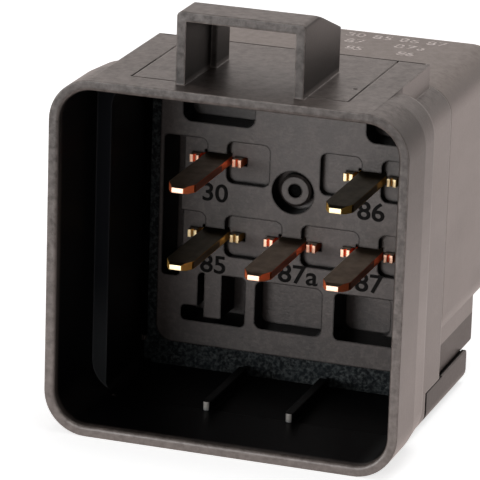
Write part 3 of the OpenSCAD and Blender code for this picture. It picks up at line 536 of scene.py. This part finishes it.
def dress_nodes():
    # The pale end colours are partly painted highlight
    copper = strip_metal("copper_strip", srgb(184, 162, 140), srgb(255, 140, 90),
                         srgb(255, 216, 190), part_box("terminal_30")[0][1], 0.42)
    brass = strip_metal("brass_strip", srgb(124, 114, 94), srgb(206, 166, 88),
                        srgb(255, 238, 192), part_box("terminal_85")[0][1], 0.2)
    iron = plain_metal("plated_iron", srgb(176, 176, 172), srgb(150, 151, 150), (0.26, 0.42))
    silver = plain_metal("contact_silver", srgb(226, 224, 216), srgb(206, 204, 198),
                         (0.2, 0.34))
    bronze = plain_metal("spring_bronze", srgb(190, 138, 84), srgb(170, 120, 72),
                         (0.24, 0.4), brushed=(0.1, 1, 1))
    wire = plain_metal("spring_wire", srgb(150, 150, 152), srgb(126, 126, 130), (0.22, 0.36))
    paint(finish_shroud(), "shroud")
    paint(finish_cover(), "rear_cover")
    paint(finish_header(), "header_base")
    paint(finish_seal(), "perimeter_seal")
    paint(finish_vent(), "vent_plug")
    paint(copper, "terminal_30", "terminal_87", "terminal_87a")
    paint(brass, "terminal_85", "terminal_86")
    paint(bronze, "contact_arm")
    paint(iron, "core", "yoke", "armature", "armature_rivets")
    paint(wire, "return_spring")
    paint(silver, "moving_contact", "contact_no", "contact_nc")
    paint(finish_winding(), "coil_winding")
    paint(finish_braid(), "shunt_braid")
    paint(finish_bobbin(), "bobbin")


# ---- Moulded numbers and print ----

def marking(name, words, size, place, turn, depth, ink, spacing=1.0, heavy=0.0):
    """Text set as a thin solid.

    place is the lower left corner of the first figure, spacing the share of the font's own
    pitch, and heavy the width added along each stroke.
    """
    curve = bpy.data.curves.new(name, "FONT")
    curve.body = words
    curve.size = size
    curve.extrude = depth / 2
    curve.bevel_depth = depth * 0.12
    curve.space_character = spacing
    curve.offset = heavy
    curve.materials.append(ink.material)
    text = bpy.data.objects.new(name, curve)
    scene.collection.objects.link(text)
    text.matrix_world = Matrix.Translation(place) @ turn
    bpy.context.view_layer.update()
    shaped = text.evaluated_get(bpy.context.evaluated_depsgraph_get())
    mesh = bpy.data.meshes.new_from_object(shaped)
    mesh.transform(text.matrix_world)
    bpy.data.objects.remove(text)
    solid = bpy.data.objects.new(name, mesh)
    scene.collection.objects.link(solid)
    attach(solid, "base")


def moulded_numbers():
    """Terminal numbers under the blades, standing on the header face."""
    # The near black of the numbers is painted shade of their relief
    ink = number_shade()
    widen = Matrix.Diagonal((1.1, 1, 1, 1))
    upright = Matrix.Rotation(math.radians(90), 4, "X") @ widen
    depth, heavy = 0.08 * MM, 0.03 * MM
    sunk = 0.02 * MM
    # Words, left edge, foot of the figures and size, in mm
    places = (
        ("30", -9.55, 0.95, 2.6),
        ("86", 6.85, 1.05, 2.65),
        ("85", -9.5, -6.6, 2.6),
        ("87a", -1.2, -6.55, 2.7),
        ("87", 6.9, -6.45, 2.7),
    )
    for words, x, z, size in places:
        place = Vector((x * MM, HEADER_FACE - sunk, z * MM))
        marking("number_" + words, words, size * MM, place, upright, depth, ink,
                heavy=heavy)


def cover_print():
    """Terminal numbers in three rows near the rear edge of the cover's top."""
    ink = print_ink()
    flat = Matrix.Identity(4)
    depth, heavy = 0.008 * MM, 0.025 * MM
    rear, top = COVER_HIGH[1], COVER_HIGH[2] + depth / 2
    # Name, words, left edge, distance from the rear edge and size in mm, spacing
    groups = (
        ("print_a", "30 85 86 87", 0.35, 3.9, 2.05, 1.08),
        ("print_b", "87", 1.0, 6.4, 2.1, 1.0),
        ("print_c", "87a", 6.3, 6.5, 2.1, 1.15),
        ("print_d", "85", 1.9, 9.1, 2.0, 0.9),
        ("print_e", "86", 7.3, 9.1, 2.0, 0.9),
    )
    for name, words, x, back, size, spacing in groups:
        place = Vector((x * MM, rear - back * MM, top))
        marking(name, words, size * MM, place, flat, depth, ink,
                spacing, heavy)


# ---- Stage ----

def make_floor():
    """White floor: plain for the light, clear white to the camera.

    In reflections it is a warm white, which fades in front of the object.
    """
    m = Material("floor_white")
    m.colour(grey(0.80))
    m.feed(m.shader.inputs["Roughness"], 0.9)
    path = m.add("LightPath").outputs
    to_camera = path["Is Camera Ray"]
    ahead = m.math("MULTIPLY", m.axis("Y"), -1.0)
    near = m.rest(m.step(ahead, *FLOOR_FADE))
    share = m.math("ADD", m.both(near, 1 - FLOOR_FAR_GLOSS), FLOOR_FAR_GLOSS)
    glow = m.math("ADD", m.both(to_camera, FLOOR_GLOW), m.both(path["Is Glossy Ray"], share))
    m.feed(m.shader.inputs["Emission Color"], m.mix(to_camera, srgb(255, 232, 224), WHITE))
    m.feed(m.shader.inputs["Emission Strength"], glow)
    mesh = bpy.data.meshes.new("floor")
    low = cad_box[0][2] - FLOOR_DROP
    corners = [(x * FLOOR_HALF, y * FLOOR_HALF, low)
               for x, y in ((-1, -1), (1, -1), (1, 1), (-1, 1))]
    mesh.from_pydata(corners, [], [(0, 1, 2, 3)])
    floor = bpy.data.objects.new("floor", mesh)
    mesh.materials.append(m.material)
    scene.collection.objects.link(floor)


def light_world():
    """Plain dim light on the object; white to the camera and warm white in reflections."""
    world = bpy.data.worlds.new("studio")
    scene.world = world
    world.use_nodes = True
    w = Nodes(world.node_tree)
    background = world.node_tree.nodes["Background"]
    path = w.add("LightPath").outputs
    shown = w.either(path["Is Camera Ray"], path["Is Glossy Ray"])
    w.feed(background.inputs["Strength"], w.spread(shown, WORLD_LIGHT, 1.0))
    tint = w.mix(path["Is Glossy Ray"], WHITE, srgb(255, 244, 239))
    w.feed(background.inputs["Color"], tint)


def soft_light(name, place, size, power):
    data = bpy.data.lights.new(name, "AREA")
    data.shape = "RECTANGLE"
    data.size, data.size_y = size
    data.energy = power
    light = bpy.data.objects.new(name, data)
    scene.collection.objects.link(light)
    light.location = place
    aim = Vector(LIGHT_AIM) - Vector(place)
    light.rotation_euler = aim.to_track_quat("-Z", "Y").to_euler()


def make_camera():
    place, aim = Vector(CAMERA_PLACE) * MM, Vector(CAMERA_AIM) * MM
    data = bpy.data.cameras.new("camera")
    data.lens = CAMERA_LENS
    data.sensor_width = 36
    data.clip_start = 0.01
    data.clip_end = 20
    camera = bpy.data.objects.new("camera", data)
    scene.collection.objects.link(camera)
    camera.location = place
    look = (aim - place).to_track_quat("-Z", "Y").to_matrix()
    roll = Matrix.Rotation(math.radians(CAMERA_ROLL), 3, "Z")
    camera.rotation_euler = (look @ roll).to_euler()
    scene.camera = camera


make_camera()
dress_nodes()
moulded_numbers()
cover_print()
make_floor()
light_world()
soft_light("front", **FRONT_LIGHT)
soft_light("top", **TOP_LIGHT)
scene.view_settings.view_transform = "Standard"
